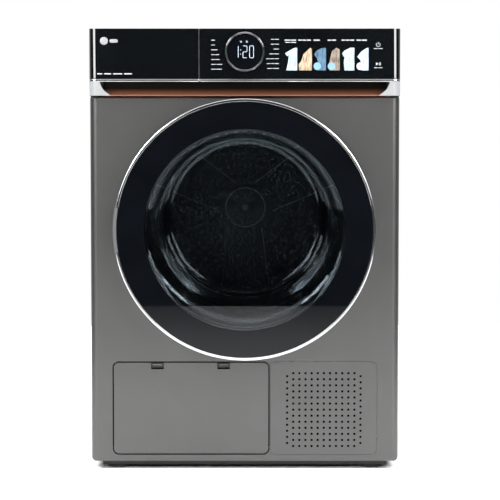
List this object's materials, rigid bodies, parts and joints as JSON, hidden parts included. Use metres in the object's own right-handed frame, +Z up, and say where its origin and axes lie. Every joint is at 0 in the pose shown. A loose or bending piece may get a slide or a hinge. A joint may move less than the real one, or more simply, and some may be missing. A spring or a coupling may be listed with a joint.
{
  "type": "clothes dryer",
  "caption": "Front-loading heat-pump clothes dryer with a round glass door, pull-out water tank, selector dial, drop-down service flap and levelling feet.",
  "frame": {"origin": "on the floor under the middle of the overall box, at the underside of the feet", "axes": "+Z up, -Y out through the door, +X to the right of someone facing the door"},
  "size_m": [0.595, 0.65, 0.85],
  "materials": {
    "cabinet_paint": "satin metallic grey paint",
    "rear_sheet": "matt galvanised grey",
    "base_plastic": "matt moulded",
    "panel_gloss": "high gloss black",
    "bright_trim": "polished",
    "copper_trim": "satin copper",
    "cap_grey": "satin light grey",
    "display_black": "smoked display window",
    "circuit_board": "green solder mask",
    "worktop_rim": "fine grain",
    "worktop_laminate": "grey laminate",
    "tank_plastic": "translucent white",
    "shelf_plastic": "matt moulded",
    "handle_grey": "satin dark grey",
    "door_glass": "tinted",
    "door_black": "black print behind glass",
    "bowl_glass": "pressed glass",
    "inner_plastic": "fine grain grey",
    "hinge_metal": "die cast",
    "bright_steel": "bright",
    "black_plastic": "matt",
    "seal_rubber": "matt",
    "filter_plastic": "fine mesh",
    "drum_steel": "stainless, patterned",
    "lifter_plastic": "matt moulded",
    "felt": "wool felt",
    "bronze": "sintered bronze",
    "bare_steel": "galvanised",
    "black_rubber": "matt",
    "motor_case": "cast",
    "fin_metal": "bright fins",
    "compressor_black": "semi-gloss black paint",
    "lever_blue": "satin"
  },
  "bodies": {
    "root": {"base_frame": "base_plastic", "front_panel": "cabinet_paint", "vent_grille": "cabinet_paint", "side_panel_left": "cabinet_paint", "side_panel_right": "cabinet_paint", "rear_panel": "rear_sheet", "rear_duct_cover": "rear_sheet", "worktop_frame": "worktop_rim", "worktop_board": "worktop_laminate", "fascia_panel": "panel_gloss", "fascia_strip": "bright_trim", "grip_trough": "copper_trim", "grip_end_caps": "cap_grey", "display_module": "display_black", "control_board": "circuit_board", "tank_shelf": "shelf_plastic", "hinge_bracket": "hinge_metal", "door_latch": "black_plastic", "door_seal": "seal_rubber", "front_bulkhead": "inner_plastic", "lint_filter": "filter_plastic", "drum_seals": "felt", "drum_bearing": "bronze", "rear_bulkhead": "bare_steel", "drive_belt": "black_rubber", "motor": "motor_case", "air_housing": "shelf_plastic", "heat_exchangers": "fin_metal", "compressor": "compressor_black", "drain_pump": "black_plastic", "cable_gland": "black_plastic", "exchanger_cover": "inner_plastic"},
    "drum": {"drum_shell": "drum_steel", "drum_back": "drum_steel", "drum_lifters": "lifter_plastic"},
    "motor_shaft": {"motor_rotor": "bright_steel"},
    "roller_left": {"roller_left": "black_rubber"},
    "roller_right": {"roller_right": "black_rubber"},
    "door": {"door_ring": "bright_trim", "door_handle": "handle_grey", "door_glass": "door_glass", "door_mask_frame": "door_black", "door_bowl": "bowl_glass", "door_inner_frame": "inner_plastic", "door_hinge_block": "hinge_metal", "door_hinge_pin": "bright_steel", "door_hook": "bright_steel"},
    "tank_drawer": {"drawer_front": "panel_gloss", "drawer_strip": "bright_trim", "water_tank": "tank_plastic"},
    "dial": {"dial_ring": "bright_trim"},
    "flap": {"flap_panel": "cabinet_paint"},
    "flap_latch_left": {"flap_latch_left": "black_plastic"},
    "flap_latch_right": {"flap_latch_right": "black_plastic"},
    "cover_lever_left": {"cover_lever_left": "lever_blue"},
    "cover_lever_right": {"cover_lever_right": "lever_blue"},
    "foot_front_left": {"foot_front_left": "black_rubber"},
    "foot_front_right": {"foot_front_right": "black_rubber"},
    "foot_rear_left": {"foot_rear_left": "black_rubber"},
    "foot_rear_right": {"foot_rear_right": "black_rubber"}
  },
  "joints": [
    {"name": "drum_spin", "type": "hinge", "parent": "root", "child": "drum", "pos_m": [0, 0, 0.485], "axis": [0, 1, 0], "continuous": true},
    {"name": "motor_spin", "type": "hinge", "parent": "root", "child": "motor_shaft", "pos_m": [0.225, 0, 0.14], "axis": [0, 1, 0], "continuous": true},
    {"name": "roller_left_spin", "type": "hinge", "parent": "root", "child": "roller_left", "pos_m": [-0.19496, -0.21, 0.25266], "axis": [0, 1, 0], "continuous": true},
    {"name": "roller_right_spin", "type": "hinge", "parent": "root", "child": "roller_right", "pos_m": [0.19496, -0.21, 0.25266], "axis": [0, 1, 0], "continuous": true},
    {"name": "door_swing", "type": "hinge", "parent": "root", "child": "door", "pos_m": [0.238, -0.3, 0.467], "axis": [0, 0, 1], "range_deg": [0, 110]},
    {"name": "drawer_slide", "type": "slide", "parent": "root", "child": "tank_drawer", "axis": [0, -1, 0], "range_m": [0, 0.53]},
    {"name": "dial_turn", "type": "hinge", "parent": "root", "child": "dial", "pos_m": [0, -0.29, 0.806], "axis": [0, 1, 0], "continuous": true},
    {"name": "flap_open", "type": "hinge", "parent": "root", "child": "flap", "pos_m": [-0.104, -0.268, 0.0425], "axis": [1, 0, 0], "range_deg": [0, 90]},
    {"name": "flap_latch_left_press", "type": "slide", "parent": "flap", "child": "flap_latch_left", "axis": [0, 0, -1], "range_m": [0, 0.005], "stiffness_N_per_m": 300},
    {"name": "flap_latch_right_press", "type": "slide", "parent": "flap", "child": "flap_latch_right", "axis": [0, 0, -1], "range_m": [0, 0.005], "stiffness_N_per_m": 300},
    {"name": "cover_lever_left_turn", "type": "hinge", "parent": "root", "child": "cover_lever_left", "pos_m": [-0.215, -0.24, 0.101], "axis": [0, 1, 0], "range_deg": [0, 90]},
    {"name": "cover_lever_right_turn", "type": "hinge", "parent": "root", "child": "cover_lever_right", "pos_m": [-0.005, -0.24, 0.101], "axis": [0, 1, 0], "range_deg": [0, 90]},
    {"name": "foot_front_left_screw", "type": "slide", "parent": "root", "child": "foot_front_left", "axis": [0, 0, -1], "range_m": [0, 0.015]},
    {"name": "foot_front_right_screw", "type": "slide", "parent": "root", "child": "foot_front_right", "axis": [0, 0, -1], "range_m": [0, 0.015]},
    {"name": "foot_rear_left_screw", "type": "slide", "parent": "root", "child": "foot_rear_left", "axis": [0, 0, -1], "range_m": [0, 0.015]},
    {"name": "foot_rear_right_screw", "type": "slide", "parent": "root", "child": "foot_rear_right", "axis": [0, 0, -1], "range_m": [0, 0.015]}
  ],
  "couplings": [
    {"joint": "motor_spin", "follows": "drum_spin", "ratio": 40.291},
    {"joint": "roller_left_spin", "follows": "drum_spin", "ratio": -14.15},
    {"joint": "roller_right_spin", "follows": "drum_spin", "ratio": -14.15}
  ]
}
